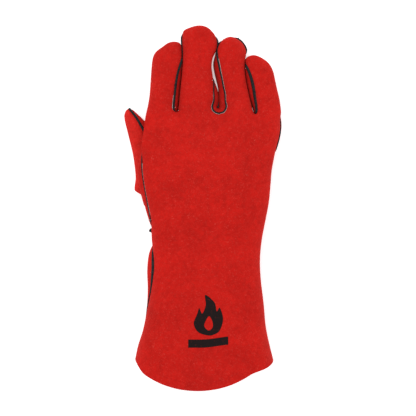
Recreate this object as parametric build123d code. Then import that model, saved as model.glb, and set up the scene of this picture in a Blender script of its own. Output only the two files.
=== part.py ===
"""Right-hand heat resistant gauntlet: a lined, welted glove of split leather with a long cuff.

Row frame, millimetres: the glove lies palm down on Z = 0, its fingertips point to +Y, the back of the
hand faces +Z and the thumb is on the -X side. The origin is under the middle of its bounding box.

The glove is a set of soft tubes: a hand, a cuff, a thumb and four fingers. Each tube is a "pillow", a
plan outline raised to a height with rounded edges. Leather panels, welts and lining are all cut from
pillows of the same outline at different insets, so neighbouring layers meet face to face. The hand is
the fixed body. Each finger bends down at the knuckle and at its middle, the thumb swings out at its
root and bends at its middle, and the cuff tilts at the wrist.
"""

import math
import os
from collections import namedtuple

from build123d import *

# Material thicknesses and fits
LEATHER = 1.4
LINING = 2.0
LINING_GAP = 0.2
WELT_PROUD = 0.8
WELT_HALF = 0.6
HINGE_GAP = 0.4
LAYERS = LEATHER + LINING_GAP + LINING

# Overall shape
FINGER_EDGE = 8.0
HAND_EDGE = 8.0
CUFF_EDGE = 13.0
THUMB_EDGE = 7.0
SIDE_SEAM_Z = 22.0
WELT_FROM_FACE = 5.0
WRIST_Y = -27.0
WRIST_Z = 19.0
KNUCKLE_Y = 103.0
HAND_HEIGHT_KNUCKLE = 26.0
WRIST_HEIGHT = 38.0
HEM_HEIGHT = 48.0
HEM_Y = -177.4
HEM_RADIUS = 88.7
HEM_CENTRE_X = 2.0
FAR = 400.0

# Bend ranges, degrees
KNUCKLE_BEND = 60.0
FINGER_BEND = 70.0
THUMB_SWING = 30.0
THUMB_BEND = 50.0
WRIST_BEND = 25.0

# One finger: hinge centre x, y; lean to +X in degrees; half widths at base, waist and bulb;
# distance from knuckle to middle hinge; distance from knuckle to tip; height; which sides have a
# sidewall strip ("fourchette") facing a neighbouring finger.
Finger = namedtuple("Finger", "x y lean base waist bulb middle length height walls")
FINGERS = {
    "index": Finger(-40.2, KNUCKLE_Y, 7.0, 13.4, 13.0, 13.2, 36.0, 59.6, 25.0, "right"),
    "middle": Finger(-5.2, KNUCKLE_Y, 1.5, 17.4, 14.4, 15.4, 40.0, 74.4, 25.0, "both"),
    "ring": Finger(32.4, KNUCKLE_Y, -6.0, 14.4, 13.4, 13.6, 36.0, 64.5, 25.0, "both"),
    "little": Finger(61.9, 101.0, -10.0, 12.4, 11.6, 11.8, 27.0, 49.4, 23.0, "left"),
}

# Where a finger is widest, and how its tip is rounded, as shares of its length and bulb
BULB_AT = 0.72
TIP_SHOULDER = 0.62
TIP_ROUND = 0.66
FINGER_SEAM_ABOVE_MIDDLE = 2.0

# The thumb's own frame has +Y along the thumb from its root; its lean is to -X.
THUMB_ROOT = (-48.1, 20.0)
THUMB_LEAN = 11.5
THUMB_HEIGHT = 18.6
THUMB_HALF = 13.2
THUMB_FLARE = 18.4
THUMB_LENGTH = 80.8
THUMB_MIDDLE = 44.0
THUMB_PIVOT_X = 8.0
THUMB_CLEARANCE = 0.8

# How far the prisms run past the planes that cut them
STUB = 26.0


def grown(outline, inset):
    """The plan outline, pulled in by inset, or pushed out where inset is negative."""
    return outline if inset == 0 else offset(outline, amount=-inset, kind=Kind.INTERSECTION)


def pillow(outline, inset, edge_radius, height, rise, open_planes):
    """A plan outline raised to a sloping top, with rounded long edges, everything pulled in by inset.

    height is the top's height at y = 0 and rise its slope along +Y. open_planes are y values whose
    edges stay sharp, because a later cut removes them.
    """
    face = grown(outline, inset)
    block = Pos(0, 0, inset) * extrude(face, amount=height + FAR)
    slope = math.degrees(math.atan(rise))
    cutter = Pos(0, 0, height - inset) * Rot(slope, 0, 0) * Box(
        FAR * 4, FAR * 4, FAR * 4, align=(Align.CENTER, Align.CENTER, Align.MIN)
    )
    block = (block - cutter).solid()
    edges = []
    for edge in block.edges():
        first, last = edge @ 0, edge @ 1
        upright = abs(edge.tangent_at(0.5).Z) > 0.5
        at_end = any(
            abs(first.Y - y) < 1.0 + abs(inset) and abs(last.Y - y) < 1.0 + abs(inset)
            for y in open_planes
        )
        if not upright and not at_end:
            edges.append(edge)
    return fillet(edges, edge_radius - inset).solid()


def box_between(low, high):
    """A box from its lowest to its highest corner."""
    size = [h - l for l, h in zip(low, high)]
    centre = [(h + l) / 2 for l, h in zip(low, high)]
    return Pos(*centre) * Box(*size)


def slab(z_low, z_high, x_low=-FAR, x_high=FAR):
    """Everything between two heights, and between two x values if they are given."""
    return box_between((x_low, -FAR, z_low), (x_high, FAR, z_high))


def side_profile(points):
    """A (y, z) polygon carried across the whole width, to cut along a hinge."""
    face = make_face(Polyline(*[(0, y, z) for y, z in points], close=True))
    return Pos(-FAR / 2, 0, 0) * extrude(face, amount=FAR, dir=(1, 0, 0))


def hinge_cut(y, z, bend, side):
    """What a body gives up at a hinge with its axis at (y, z): all that lies on one side of it.

    side is +1 where the body loses its +Y end and -1 where it loses its -Y end. Below the axis the cut
    slants into the body by half the bend. The two slants make the wedge that closes in a full bend.
    """
    slant = (z + FAR) * math.tan(math.radians(bend / 2))
    near = y - side * HINGE_GAP
    return side_profile(
        [
            (near, z),
            (near - side * slant, -FAR),
            (near + side * FAR * 2, -FAR),
            (near + side * FAR * 2, FAR),
            (near, FAR),
        ]
    )


# ---------------------------------------------------------------- fingers


def finger_place(finger):
    """The finger's own frame: origin under the knuckle, +Y along the finger."""
    return Location((finger.x, finger.y, 0), (0, 0, -finger.lean))


def finger_outline(finger):
    """Plan of one finger, narrow at its waist and wide at its bulb, with a rounded tip."""
    bulb_y = finger.length * BULB_AT
    shoulder = finger.bulb * TIP_SHOULDER
    side = [
        (finger.base, -STUB),
        (finger.base, 0),
        (finger.waist, finger.middle),
        (finger.bulb, bulb_y),
        (finger.bulb, finger.length - finger.bulb * 0.5),
        (shoulder, finger.length),
    ]
    ring = side + [(-x, y) for x, y in reversed(side)]
    return make_face(FilletPolyline(*ring, radius=finger_radii(finger), close=True))


def finger_radii(finger):
    """Corner radii in the order of the finger's outline points."""
    tip = finger.bulb * TIP_ROUND
    side = [1.0, 60.0, 40.0, 20.0, tip, tip]
    return side + side[::-1]


def finger_pillow(finger, inset):
    return pillow(
        finger_outline(finger), inset, FINGER_EDGE, finger.height, 0.0, open_planes=(-STUB,)
    )


def finger_cuts(finger):
    """What each segment of a finger gives up at its hinges."""
    axis_z = finger.height / 2
    knuckle = hinge_cut(0, axis_z, KNUCKLE_BEND, -1)
    return {
        "proximal": knuckle + hinge_cut(finger.middle, axis_z, FINGER_BEND, 1),
        "distal": hinge_cut(finger.middle, axis_z, FINGER_BEND, -1),
    }


def wall_zones(walls):
    """Plan halves of a finger: those with a sidewall strip, and those with one plain side seam."""
    halves = {"left": (-FAR, 0), "right": (0, FAR)}
    strips = [x for side, x in halves.items() if walls in (side, "both")]
    seams = [x for side, x in halves.items() if walls not in (side, "both")]
    return strips, seams


def heights_in_zones(zones, z_low, z_high):
    """Slabs between two heights, one for each (x_low, x_high) zone."""
    return [slab(z_low, z_high, x_low, x_high) for x_low, x_high in zones]


def common(shape, tools):
    """What shape shares with any of the tools, as one shape."""
    pieces = [shape & tool for tool in tools]
    joined = pieces[0]
    for piece in pieces[1:]:
        joined = joined + piece
    return joined


def finger_parts(name, finger):
    """Every node of one finger, in the row frame."""
    grown_skin = finger_pillow(finger, -WELT_PROUD)
    skin = finger_pillow(finger, 0)
    under_leather = finger_pillow(finger, LEATHER)
    lining_skin = finger_pillow(finger, LEATHER + LINING_GAP)
    hollow = finger_pillow(finger, LAYERS)
    leather = skin - under_leather
    welt_band = grown_skin - under_leather
    lining = lining_skin - hollow

    strips, seams = wall_zones(finger.walls)
    top_seam, low_seam = finger.height - WELT_FROM_FACE, WELT_FROM_FACE
    middle_seam = finger.height / 2 + FINGER_SEAM_ABOVE_MIDDLE
    w = WELT_HALF
    panels = {
        "back": heights_in_zones(strips, top_seam + w, FAR)
        + heights_in_zones(seams, middle_seam + w, FAR),
        "palm": heights_in_zones(strips, -FAR, low_seam - w)
        + heights_in_zones(seams, -FAR, middle_seam - w),
        "sidewalls": heights_in_zones(strips, low_seam + w, top_seam - w),
    }
    welts = (
        heights_in_zones(strips, top_seam - w, top_seam + w)
        + heights_in_zones(strips, low_seam - w, low_seam + w)
        + heights_in_zones(seams, middle_seam - w, middle_seam + w)
    )
    place = finger_place(finger)
    nodes = {}
    for part, lost in finger_cuts(finger).items():
        segment = leather - lost
        for panel, tools in panels.items():
            nodes[f"{name}_{panel}_{part}"] = place * common(segment, tools)
        nodes[f"{name}_welts_{part}"] = place * common(welt_band - lost, welts)
        nodes[f"{name}_lining_{part}"] = place * (lining - lost)
    return nodes


# ---------------------------------------------------------------- thumb


def thumb_place():
    return Location((THUMB_ROOT[0], THUMB_ROOT[1], 0), (0, 0, THUMB_LEAN))


def thumb_outline():
    """Plan of the thumb: flared at its root, with a slanted tip."""
    half, length = THUMB_HALF, THUMB_LENGTH
    points = [
        (half, -STUB),
        (half, length * 0.6),
        (1.5, length),
        (-half, length),
        (-half, 20.0),
        (-THUMB_FLARE, 3.0),
        (-THUMB_FLARE, -STUB),
    ]
    return make_face(
        FilletPolyline(*points, radius=[1, 26, 8.6, 8.4, 24, 12, 1], close=True)
    )


def thumb_pillow(inset):
    return pillow(thumb_outline(), inset, THUMB_EDGE, THUMB_HEIGHT, 0.0, open_planes=(-STUB,))


def thumb_hole():
    """The way from the thumb into the hand, through the walls that face each other at its root."""
    return box_between((-8.0, -12.0, 4.6), (24.0, 22.0, 14.0))


def thumb_recess(clearance):
    """The space under the hand's edge that the thumb lies in, and swings out of, in the thumb's frame."""
    right = THUMB_HALF + clearance
    swing = math.radians(THUMB_SWING + 2.0)
    reach = 60.0
    root = -clearance
    points = [
        (right, root),
        (right, FAR / 4),
        (-reach, FAR / 4),
        (THUMB_PIVOT_X - reach, root - reach * math.tan(swing)),
        (THUMB_PIVOT_X, root),
    ]
    face = make_face(Polyline(*points, close=True))
    return Pos(0, 0, -FAR / 2) * extrude(face, amount=FAR / 2 + THUMB_HEIGHT + clearance)


def thumb_parts():
    """Every node of the thumb, in the row frame. Its seam runs round its edge at half height."""
    grown_skin = thumb_pillow(-WELT_PROUD)
    skin = thumb_pillow(0)
    under_leather = thumb_pillow(LEATHER)
    leather = (skin - under_leather) - thumb_hole()
    welt_band = (grown_skin - under_leather) - thumb_hole()
    lining = (thumb_pillow(LEATHER + LINING_GAP) - thumb_pillow(LAYERS)) - thumb_hole()
    seam = THUMB_HEIGHT / 2
    root = hinge_cut(0, seam, 0, -1)
    cuts = {
        "base": root + hinge_cut(THUMB_MIDDLE, seam, THUMB_BEND, 1),
        "tip": hinge_cut(THUMB_MIDDLE, seam, THUMB_BEND, -1),
    }
    place = thumb_place()
    nodes = {}
    for part, lost in cuts.items():
        segment = leather - lost
        nodes[f"thumb_back_{part}"] = place * (segment & slab(seam + WELT_HALF, FAR))
        nodes[f"thumb_front_{part}"] = place * (segment & slab(-FAR, seam - WELT_HALF))
        welt = (welt_band - lost) & slab(seam - WELT_HALF, seam + WELT_HALF)
        nodes[f"thumb_welt_{part}"] = place * welt
        nodes[f"thumb_lining_{part}"] = place * (lining - lost)
    return nodes


# ---------------------------------------------------------------- hand

STUB_TOP = 125.0
HAND_TAIL = -60.0
KNUCKLE_MARGIN = 1.4
WRIST_WELT = 1.8
SIDEWALL_ZONE_Y = 84.0


def crotch(left_top, left, right, right_top, radius):
    """The edge of the gap between two fingers, from one stub's top down and up to the next."""
    return FilletPolyline(left_top, left, right, right_top, radius=radius)


def hand_outline():
    """Plan of the hand from below the wrist to just past the knuckles, with a stub for each finger."""
    left = FilletPolyline(
        (-50.0, HAND_TAIL), (-50.0, WRIST_Y), (-58.8, 36.0), (-55.6, 80.0), (-50.6, STUB_TOP),
        radius=[40, 70, 60],
    )
    index_middle = crotch((-24.3, STUB_TOP), (-27.4, 93.5), (-23.2, 93.5), (-20.4, STUB_TOP), 1.6)
    middle_ring = crotch((11.2, STUB_TOP), (13.2, 97.0), (17.4, 97.0), (16.0, STUB_TOP), 1.6)
    ring_little = crotch((45.6, STUB_TOP), (47.2, 92.0), (50.2, 92.0), (49.4, STUB_TOP), 1.3)
    right = FilletPolyline(
        (69.8, STUB_TOP), (77.4, 88.0), (68.6, 50.0), (58.0, WRIST_Y), (58.0, HAND_TAIL),
        radius=[30, 60, 40],
    )
    edges = [left, index_middle, middle_ring, ring_little, right]
    ends = [Line(a @ 1, b @ 0) for a, b in zip(edges, edges[1:] + edges[:1])]
    chain = [edge for pair in zip(edges, ends) for edge in pair]
    return make_face(Wire([e for piece in chain for e in piece.edges()]))


def hand_pillow(inset):
    """The hand's body at one layer, without the space for the thumb."""
    rise = (HAND_HEIGHT_KNUCKLE - WRIST_HEIGHT) / (KNUCKLE_Y - WRIST_Y)
    height = HAND_HEIGHT_KNUCKLE - rise * KNUCKLE_Y
    body = pillow(
        hand_outline(), inset, HAND_EDGE, height, rise, open_planes=(HAND_TAIL, STUB_TOP)
    )
    return body - thumb_place() * thumb_recess(THUMB_CLEARANCE + inset)


def welt_strip(outline, z):
    """A flat strip round an outline at one height, standing proud of the leather."""
    face = grown(outline, -WELT_PROUD)
    return Pos(0, 0, z - WELT_HALF) * extrude(face, amount=2 * WELT_HALF)


def knuckle_cuts():
    """All that lies past the knuckles, one cut for each finger's width."""
    cuts = []
    for finger in FINGERS.values():
        past = hinge_cut(0, finger.height / 2, KNUCKLE_BEND, 1)
        reach = finger.base + KNUCKLE_MARGIN
        past = past & box_between((-reach, -FAR, -FAR), (reach, STUB_TOP, FAR))
        cuts.append(finger_place(finger) * past)
    return cuts


def wrist_side(side, back=0.0):
    """All on one side of the wrist hinge, moved back from it; slanted because the wrist bends both ways."""
    slant = FAR * math.tan(math.radians(WRIST_BEND / 2))
    near = WRIST_Y + side * (HINGE_GAP + back)
    return side_profile(
        [
            (near, WRIST_Z),
            (near + side * slant, WRIST_Z + FAR),
            (near + side * FAR, WRIST_Z + FAR),
            (near + side * FAR, WRIST_Z - FAR),
            (near + side * slant, WRIST_Z - FAR),
        ]
    )


def hand_parts():
    """Every node of the hand."""
    skin = hand_pillow(0)
    under_leather = hand_pillow(LEATHER)
    lost = [thumb_place() * thumb_hole()] + knuckle_cuts()

    def trimmed(shape):
        return (shape & wrist_side(1)) - lost

    leather = trimmed(skin - under_leather)
    lining = trimmed(hand_pillow(LEATHER + LINING_GAP) - hand_pillow(LAYERS))
    between_fingers = box_between(
        (FINGERS["index"].x, SIDEWALL_ZONE_Y, -FAR), (FINGERS["little"].x, FAR, FAR)
    )
    w = WELT_HALF
    seam, low_seam = SIDE_SEAM_Z, WELT_FROM_FACE
    top_seam = FINGERS["index"].height - WELT_FROM_FACE

    def zoned(in_gaps, elsewhere):
        return (leather & between_fingers & slab(*in_gaps)) + (
            (leather & slab(*elsewhere)) - between_fingers
        )

    def welt(z):
        return trimmed(welt_strip(hand_outline(), z) - under_leather)

    wrist_strip = slab(-FAR, seam - w) - wrist_side(1, WRIST_WELT)
    return {
        "hand_back": zoned((top_seam + w, FAR), (seam + w, FAR)),
        "hand_palm": zoned((-FAR, low_seam - w), (-FAR, seam - w)) - wrist_strip,
        "crotch_sidewalls": leather & between_fingers & slab(low_seam + w, top_seam - w),
        "hand_welts": (welt(top_seam) & between_fingers)
        + (welt(low_seam) & between_fingers)
        + (welt(seam) - between_fingers)
        + (leather & wrist_strip),
        "hand_lining": lining,
    }


# ---------------------------------------------------------------- cuff

CUFF_HEAD = 20.0
CUFF_TAIL = -230.0
HEM_TURN = 12.0
HEM_FACING = 1.2
STITCH_IN = 8.0
STITCH_PITCH = 4.0
STITCH_LENGTH = 2.6
STITCH_WIDTH = 0.8
STITCH_PROUD = 0.3


def cuff_outline():
    """Plan of the cuff, waisted below the wrist and flared to the hem."""
    left = FilletPolyline(
        (-50.0, CUFF_HEAD), (-50.0, WRIST_Y), (-53.8, -70.0), (-53.8, -100.0), (-64.6, -145.0),
        (-70.0, CUFF_TAIL),
        radius=[60, 60, 50, 60],
    )
    right = FilletPolyline(
        (74.0, CUFF_TAIL), (68.6, -145.0), (60.6, -106.0), (55.6, -54.0), (58.0, WRIST_Y),
        (58.0, CUFF_HEAD),
        radius=[60, 60, 60, 60],
    )
    ends = [Line(left @ 1, right @ 0), Line(right @ 1, left @ 0)]
    chain = list(left.edges()) + [ends[0]] + list(right.edges()) + [ends[1]]
    return make_face(Wire(chain))


def cuff_pillow(inset):
    rise = (WRIST_HEIGHT - HEM_HEIGHT) / (WRIST_Y - HEM_Y)
    height = WRIST_HEIGHT - rise * WRIST_Y
    return pillow(
        cuff_outline(), inset, CUFF_EDGE, height, rise, open_planes=(CUFF_HEAD, CUFF_TAIL)
    )


def inside_hem(back):
    """The region on the hand's side of the curved hem, moved back from it by a distance."""
    centre_y = HEM_Y + HEM_RADIUS
    disc = Pos(HEM_CENTRE_X, centre_y, 0) * Cylinder(HEM_RADIUS - back, FAR)
    return disc + box_between((-FAR, centre_y, -FAR / 2), (FAR, FAR, FAR / 2))


def hem_stitches():
    """One row of lock stitches through each face of the cuff, following the hem."""
    radius = HEM_RADIUS - STITCH_IN
    centre_y = HEM_Y + HEM_RADIUS
    reach = 46.0
    step = math.degrees(STITCH_PITCH / radius)
    count = int(math.degrees(math.asin(reach / radius)) / step)
    rise = (WRIST_HEIGHT - HEM_HEIGHT) / (WRIST_Y - HEM_Y)
    stitches = []
    for i in range(-count, count + 1):
        angle = math.radians(i * step)
        x = HEM_CENTRE_X + radius * math.sin(angle)
        y = centre_y - radius * math.cos(angle)
        top = WRIST_HEIGHT + rise * (y - WRIST_Y)
        for z_low, z_high in ((top - LEATHER, top + STITCH_PROUD), (0.0, LEATHER)):
            stitch = Box(STITCH_LENGTH, STITCH_WIDTH, z_high - z_low)
            stitches.append(
                Pos(x, y, (z_low + z_high) / 2) * Rot(0, 0, math.degrees(angle)) * stitch
            )
    return stitches


def cuff_parts():
    """Every node of the cuff."""
    region = wrist_side(-1) & inside_hem(0)
    grown_skin, skin, under_leather = (cuff_pillow(i) for i in (-WELT_PROUD, 0, LEATHER))
    leather = (skin - under_leather) & region
    welt_band = (grown_skin - under_leather) & region
    lining = cuff_pillow(LEATHER + LINING_GAP) - cuff_pillow(LAYERS)
    facing = cuff_pillow(LEATHER + LINING_GAP) - cuff_pillow(LEATHER + LINING_GAP + HEM_FACING)
    seam, w = SIDE_SEAM_Z, WELT_HALF
    facing_end = inside_hem(HEM_TURN)
    stitches = hem_stitches()
    return {
        "cuff_back": (leather & slab(seam + w, FAR)) - stitches,
        "cuff_palm": (leather & slab(-FAR, seam - w)) - stitches,
        "cuff_welts": welt_band & slab(seam - w, seam + w),
        "cuff_lining": lining & wrist_side(-1) & inside_hem(HEM_TURN + LINING_GAP),
        "hem_facing": (facing & region) - facing_end,
        "hem_stitches": Compound(children=[stitch.solid() for stitch in stitches]),
    }


def main():
    nodes = hand_parts() | cuff_parts() | thumb_parts()
    for name, finger in FINGERS.items():
        nodes |= finger_parts(name, finger)
    os.makedirs("parts", exist_ok=True)
    for name, shape in nodes.items():
        export_step(Compound(children=list(shape.solids())), f"parts/{name}.step")


main()
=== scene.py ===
"""Looks of the heat resistant gauntlet: suede panels, black welts, sidewalls, lining and stitching.

Row frame: +Y to the fingertips, +Z out of the back of the hand, the thumb at -X. Shapes are worked
out in millimetres and turned into metres when a mesh is made.

One outline runs round the whole glove, up one side of each finger and down the next. A back sheet and
a palm sheet are triangulated inside it and rounded over towards it, a strip joins them along it, and
welts follow it. Every sheet is then cut at the bend lines, so each piece crosses one joint at most.
"""

import math
from collections import namedtuple

import bpy
import numpy as np
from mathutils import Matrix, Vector, noise
from mathutils.geometry import delaunay_2d_cdt


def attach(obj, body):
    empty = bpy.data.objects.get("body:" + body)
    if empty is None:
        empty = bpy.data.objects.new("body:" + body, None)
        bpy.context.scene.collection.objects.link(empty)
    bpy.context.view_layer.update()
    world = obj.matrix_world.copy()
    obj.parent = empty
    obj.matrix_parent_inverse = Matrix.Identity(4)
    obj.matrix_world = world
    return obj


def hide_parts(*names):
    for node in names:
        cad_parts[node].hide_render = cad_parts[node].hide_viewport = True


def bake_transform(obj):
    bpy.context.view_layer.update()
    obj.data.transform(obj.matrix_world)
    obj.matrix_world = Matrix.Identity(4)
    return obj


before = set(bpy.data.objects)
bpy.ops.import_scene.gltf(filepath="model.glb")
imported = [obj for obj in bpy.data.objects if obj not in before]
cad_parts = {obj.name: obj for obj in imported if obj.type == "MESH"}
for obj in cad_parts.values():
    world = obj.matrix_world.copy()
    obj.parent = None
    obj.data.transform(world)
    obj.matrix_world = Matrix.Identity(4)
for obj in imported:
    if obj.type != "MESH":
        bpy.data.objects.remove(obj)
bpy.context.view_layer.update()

MM = 0.001
SKIN = 1.3
STEP = 1.4
GRID = 1.9
LOW_WELT = 0.8
LINING = 1.6

# ------------------------------------------------------------------ plan of the glove, millimetres

# A finger: centre of its knuckle, lean to +X in degrees, half width, distance to its middle joint, and
# where the sheets are cut across it between its two joints.
Finger = namedtuple("Finger", "x y lean half middle cut")
FINGERS = {
    "index": Finger(-40.2, 103.0, 7.0, 13.4, 36.0, 19.0),
    "middle": Finger(-5.2, 103.0, 1.5, 17.4, 40.0, 21.0),
    "ring": Finger(32.4, 103.0, -6.0, 14.4, 36.0, 19.0),
    "little": Finger(61.9, 101.0, -10.0, 12.4, 27.0, 14.0),
}
WRIST_SEAM_Y = -24.0
HEM_Y = -177.0
HEM_RADIUS = 94.0
HEM_X = -4.5
BACK_SHORTER = 3.8
# Shares of the hem over which it eases out to its right and its left corner
RIGHT_CORNER, LEFT_CORNER = 1 / 6, 1 / 9

# Every outline point says how the seams run beside it: plan place, then inset and height of the back
# sheet's edge, of the seam above, of the widest place between the seams, and of the seam below, 1 where
# a sidewall strip lies between the two seams, and the radius of the upper welt.


def tucked(x, y, z):
    """One seam, hidden under the glove's edge at height z."""
    return (x, y, 0.0, z + 6.0, 1.7, z + 0.9, 1.6, z, 1.8, z - 0.9, 0.0, 0.8)


def shown(x, y, inset, z, low, welt):
    """One seam on top, inset from the edge; the palm panel turns up from height low to meet it."""
    return (x, y, inset, z, inset, z, 0.0, (z + low) / 2, 0.4, low, 0.0, welt)


def wall_out(x, y, inset, welt=1.3, reach=0.0):
    """A sidewall that slopes out from a seam on top, and may reach under the finger next to it."""
    return (x, y, inset, 19.8, inset, 19.8, -reach, 10.0, 2.0, 5.4, 1.0, welt)


def wall_in(x, y):
    """A sidewall tucked in below the finger's edge, so its seams are out of sight."""
    return (x, y, 0.0, 18.6, 2.2, 14.2, 0.4, 9.6, 2.0, 5.4, 1.0, 0.7)


def tip(x, y, reach=0.0):
    """A fingertip, where the sidewall runs out and the seams meet under the edge."""
    return (x, y, 0.0, 16.4, 1.7 - reach, 12.8, 1.2 - 1.6 * reach, 11.6, 1.6 - reach, 10.4, 1.0, 0.8)


def tip_welt(x, y, inset=0.5):
    """A fingertip's side, where the upper welt shows."""
    return (x, y, inset, 15.8, inset, 15.8, 0.2, 12.6, 1.4, 9.0, 1.0, 1.0)


LEFT_SIDE = [
    tucked(-65.4, -146.0, 17.0),
    tucked(-62.6, -133.0, 16.0),
    tucked(-57.6, -117.0, 16.0),
    shown(-54.2, -95.0, 1.0, 22.0, 13.0, 0.5),
    shown(-53.4, -78.0, 4.0, 27.0, 12.0, 1.0),
    shown(-53.9, -60.0, 6.8, 28.6, 11.5, 2.0),
    shown(-52.2, -44.0, 4.8, 26.4, 11.0, 1.4),
    tucked(-49.2, -32.0, 15.0),
    tucked(-49.6, -23.0, 16.0),
    shown(-52.2, -12.0, 2.4, 24.0, 13.0, 0.7),
    shown(-57.8, 8.0, 4.2, 25.4, 16.0, 0.6),
    shown(-61.6, 24.0, 5.0, 25.6, 20.8, 0.6),
    shown(-62.6, 37.0, 4.4, 25.6, 21.0, 0.6),
    shown(-61.2, 48.0, 3.0, 25.4, 21.0, 0.7),
    tucked(-58.9, 60.0, 22.2),
    tucked(-57.0, 74.0, 22.2),
    tucked(-55.6, 86.0, 21.0),
    tucked(-54.6, 94.0, 14.0),
    tucked(-53.4, 101.0, 9.6),
]
INDEX = [
    tucked(-52.0, 110.0, 9.0),
    tucked(-51.1, 121.0, 9.0),
    tucked(-50.3, 133.0, 9.4),
    tucked(-49.4, 143.0, 10.0),
    tucked(-47.8, 149.4, 11.0),
    tip(-44.8, 153.8),
    tip(-39.6, 157.6),
    tip(-33.6, 161.8),
    tip(-27.0, 162.9),
    tip(-21.4, 160.6, 0.8),
    tip(-20.4, 152.0, 1.0),
    wall_out(-20.2, 143.5, 0.9, 1.4, 1.4),
    wall_out(-20.9, 134.5, 3.1, 1.5, 1.8),
    wall_out(-22.2, 125.0, 3.9, 1.6, 1.8),
    wall_out(-23.2, 114.0, 4.3, 1.6, 1.8),
    wall_out(-24.0, 102.0, 4.8, 1.6, 1.4),
]
MIDDLE = [
    wall_in(-22.9, 102.0),
    wall_in(-22.1, 112.0),
    wall_in(-21.1, 121.0),
    wall_in(-19.9, 133.0),
    wall_in(-19.3, 143.5),
    tip_welt(-20.3, 152.0, 0.9),
    tip_welt(-21.0, 160.0, 1.2),
    tip_welt(-20.6, 167.5, 0.8),
    tip(-18.4, 173.6),
    tip(-11.0, 177.2),
    tip(-3.0, 178.8),
    tip(4.6, 177.0),
    tip(10.8, 171.2),
    tip_welt(14.0, 165.4),
    tip_welt(14.8, 160.0),
    tip(12.9, 153.0),
    wall_in(9.9, 146.5),
    wall_in(8.8, 138.5),
    wall_in(9.6, 131.5),
    wall_out(11.8, 124.5, 1.4, 0.7),
    wall_out(14.6, 116.5, 4.3, 0.7, 0.3),
    wall_out(15.6, 110.0, 5.0, 0.9, 0.6),
    wall_out(15.7, 104.0, 5.4, 1.0, 0.8),
]
RING = [
    wall_out(16.3, 104.0, 6.4, 1.0, 0.8),
    wall_out(16.2, 111.0, 6.2, 1.0, 0.6),
    wall_out(15.6, 118.0, 5.2, 1.0, 0.5),
    wall_out(13.8, 125.5, 5.6, 1.0, 0.4),
    wall_out(11.8, 134.0, 5.8, 1.3, 0.4),
    wall_out(10.8, 142.0, 5.4, 1.4, 0.4),
    wall_out(11.8, 149.0, 3.2, 1.4),
    tip_welt(13.4, 156.0, 1.2),
    tip_welt(16.4, 161.8, 0.7),
    tip(21.0, 165.6),
    tip(27.5, 167.8),
    tip_welt(34.2, 165.8, 0.4),
    tip_welt(39.9, 161.2),
    tip_welt(42.9, 154.8),
    tip(42.3, 148.5),
    wall_in(41.0, 141.5),
    wall_in(41.3, 131.0),
    wall_in(43.3, 119.0),
    wall_in(45.8, 108.0),
    wall_in(48.4, 97.4),
]
LITTLE = [
    wall_out(50.2, 97.8, 3.0, 1.7, 1.0),
    wall_out(47.1, 108.5, 4.4, 1.8, 1.8),
    wall_out(44.6, 119.0, 5.2, 1.9, 1.8),
    wall_out(42.6, 130.0, 4.2, 1.7, 1.8),
    wall_out(42.0, 137.5, 1.7, 1.4, 1.4),
    tip(41.5, 143.8, 1.0),
    tip(43.6, 148.0, 0.6),
    tip(50.2, 149.8),
    tip(56.4, 147.9),
    tip(62.2, 144.2),
    tip(66.4, 139.6),
    tucked(69.2, 133.4, 10.4),
    tucked(70.9, 126.0, 9.4),
    tucked(72.8, 117.5, 9.0),
    tucked(74.8, 109.0, 9.2),
    tucked(76.1, 101.0, 9.8),
]
RIGHT_SIDE = [
    tucked(76.6, 93.5, 11.0),
    shown(76.4, 86.0, 0.5, 16.5, 14.0, 0.6),
    shown(76.4, 78.0, 0.6, 17.5, 14.5, 0.8),
    shown(74.9, 68.5, 0.6, 18.0, 15.0, 0.8),
    shown(72.2, 58.5, 0.5, 18.0, 15.0, 0.6),
    tucked(69.8, 50.0, 14.0),
    tucked(67.3, 36.0, 14.0),
    tucked(66.0, 20.0, 14.0),
    tucked(64.3, 4.0, 14.0),
    tucked(60.8, -14.0, 14.5),
    tucked(57.6, -31.0, 15.0),
    tucked(55.9, -50.0, 15.0),
    tucked(56.8, -70.0, 15.0),
    tucked(59.4, -92.0, 15.5),
    tucked(61.4, -114.0, 16.0),
    tucked(65.0, -132.0, 16.0),
    tucked(68.8, -147.0, 17.0),
]
# The bottoms of the gaps between fingers
CROTCHES = [
    [wall_out(-24.8, 96.2, 4.0, 1.5, 1.0), wall_in(-23.6, 96.2)],
    [wall_out(15.6, 99.4, 7.2, 1.3, 0.8), wall_out(16.4, 99.4, 7.6, 1.3, 0.8)],
    [wall_in(50.0, 93.2), wall_out(51.4, 92.8, 1.4, 1.5, 0.6)],
]


def smooth(t):
    t = np.clip(t, 0.0, 1.0)
    return t * t * (3 - 2 * t)


def spline(points, step):
    """A smooth curve through points, every column interpolated alike, sampled about step apart."""
    p = np.array(points, float)
    p = np.vstack([2 * p[0] - p[1], p, 2 * p[-1] - p[-2]])
    out = []
    for p0, p1, p2, p3 in zip(p, p[1:], p[2:], p[3:]):
        count = max(2, int(round(math.dist(p1[:2], p2[:2]) / step)))
        for t in np.linspace(0, 1, count, endpoint=False):
            bend = (2 * p0 - 5 * p1 + 4 * p2 - p3) * t * t + (3 * (p1 - p2) + p3 - p0) * t**3
            out.append(0.5 * (2 * p1 + (p2 - p0) * t + bend))
    out.append(p[-2])
    return np.array(out)


def evenly(rows, step, length=None):
    """The same polyline, sampled at equal steps along its plan, or along a length that is given."""
    if length is None:
        length = np.concatenate([[0], np.cumsum(np.hypot(*np.diff(rows[:, :2], axis=0).T))])
    count = max(2, int(round(length[-1] / step)) + 1)
    at = np.linspace(0, length[-1], count)
    return np.stack([np.interp(at, length, column) for column in rows.T], axis=1)


def axes_of(finger):
    """Across and along directions of a finger, in plan."""
    lean = math.radians(finger.lean)
    return (
        np.array([math.cos(lean), -math.sin(lean)]),
        np.array([math.sin(lean), math.cos(lean)]),
    )


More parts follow.
